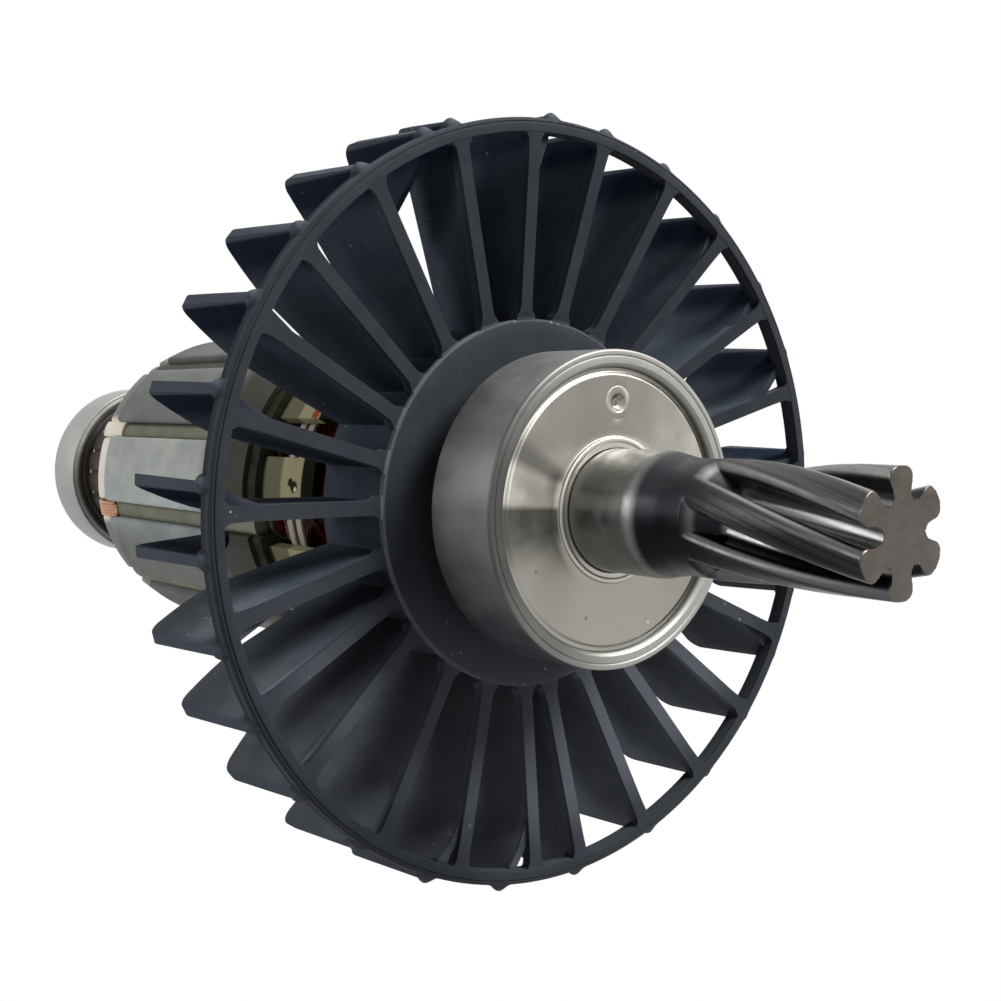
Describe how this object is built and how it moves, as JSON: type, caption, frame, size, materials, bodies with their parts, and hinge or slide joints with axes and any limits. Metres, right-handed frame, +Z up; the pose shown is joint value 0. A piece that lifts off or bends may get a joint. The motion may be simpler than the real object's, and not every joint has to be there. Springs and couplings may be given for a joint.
{
  "type": "motor armature",
  "caption": "Universal motor armature: slotted core with winding and commutator, axial fan, ball bearings at both ends and a helical pinion cut on the shaft.",
  "frame": {"origin": "centre of the front bearing's outer seat, on the shaft's axis", "axes": "+X along the shaft from the commutator to the pinion, +Z up in the picture"},
  "size_m": [0.1864, 0.1021, 0.1021],
  "materials": {
    "pinion_steel": "ground journal, hobbed teeth",
    "bearing_steel": "satin ground",
    "ball_steel": "polished",
    "shield_steel": "fine turned",
    "lamination_steel": "turned",
    "fan_plastic": "matt moulded",
    "cage_nylon": "matt",
    "seal_rubber": "matt",
    "phenolic": "matt moulded",
    "insulating_paper": "varnished",
    "insulating_fibre": "satin",
    "enamelled_wire": "varnished",
    "binding_cord": "varnished",
    "commutator_copper": "turned, brush marked",
    "glass_banding": "matt"
  },
  "bodies": {
    "front_outer": {"front_bearing_outer_ring": "bearing_steel", "front_bearing_shield": "shield_steel", "front_bearing_seal": "seal_rubber"},
    "rotor": {"shaft": "pinion_steel", "front_bearing_inner_ring": "bearing_steel", "front_spacer": "bearing_steel", "cooling_fan": "fan_plastic", "shaft_sleeve": "phenolic", "lamination_core": "lamination_steel", "slot_liners": "insulating_paper", "slot_wedges": "insulating_paper", "front_end_insulator": "insulating_fibre", "rear_end_insulator": "insulating_fibre", "armature_winding": "enamelled_wire", "binding_cords": "binding_cord", "commutator_leads": "enamelled_wire", "commutator_bars": "commutator_copper", "commutator_rings": "glass_banding", "commutator_hub": "phenolic", "rear_spacer": "bearing_steel", "rear_bearing_inner_ring": "bearing_steel"},
    "front_cage": {"front_bearing_balls": "ball_steel", "front_bearing_cage": "cage_nylon"},
    "rear_cage": {"rear_bearing_balls": "ball_steel", "rear_bearing_cage": "cage_nylon"},
    "rear_outer": {"rear_bearing_outer_ring": "bearing_steel", "rear_bearing_seals": "seal_rubber"}
  },
  "joints": [
    {"name": "rotor_spin", "type": "hinge", "parent": "front_outer", "child": "rotor", "pos_m": [0, 0, 0], "axis": [1, 0, 0], "continuous": true},
    {"name": "front_cage_spin", "type": "hinge", "parent": "front_outer", "child": "front_cage", "pos_m": [0, 0, 0], "axis": [1, 0, 0], "continuous": true},
    {"name": "rear_ring_spin", "type": "hinge", "parent": "rotor", "child": "rear_outer", "pos_m": [-0.1327, 0, 0], "axis": [1, 0, 0], "continuous": true},
    {"name": "rear_cage_spin", "type": "hinge", "parent": "rotor", "child": "rear_cage", "pos_m": [-0.1327, 0, 0], "axis": [1, 0, 0], "continuous": true}
  ],
  "couplings": [
    {"joint": "front_cage_spin", "follows": "rotor_spin", "ratio": 0.3818},
    {"joint": "rear_cage_spin", "follows": "rear_ring_spin", "ratio": 0.6013}
  ]
}
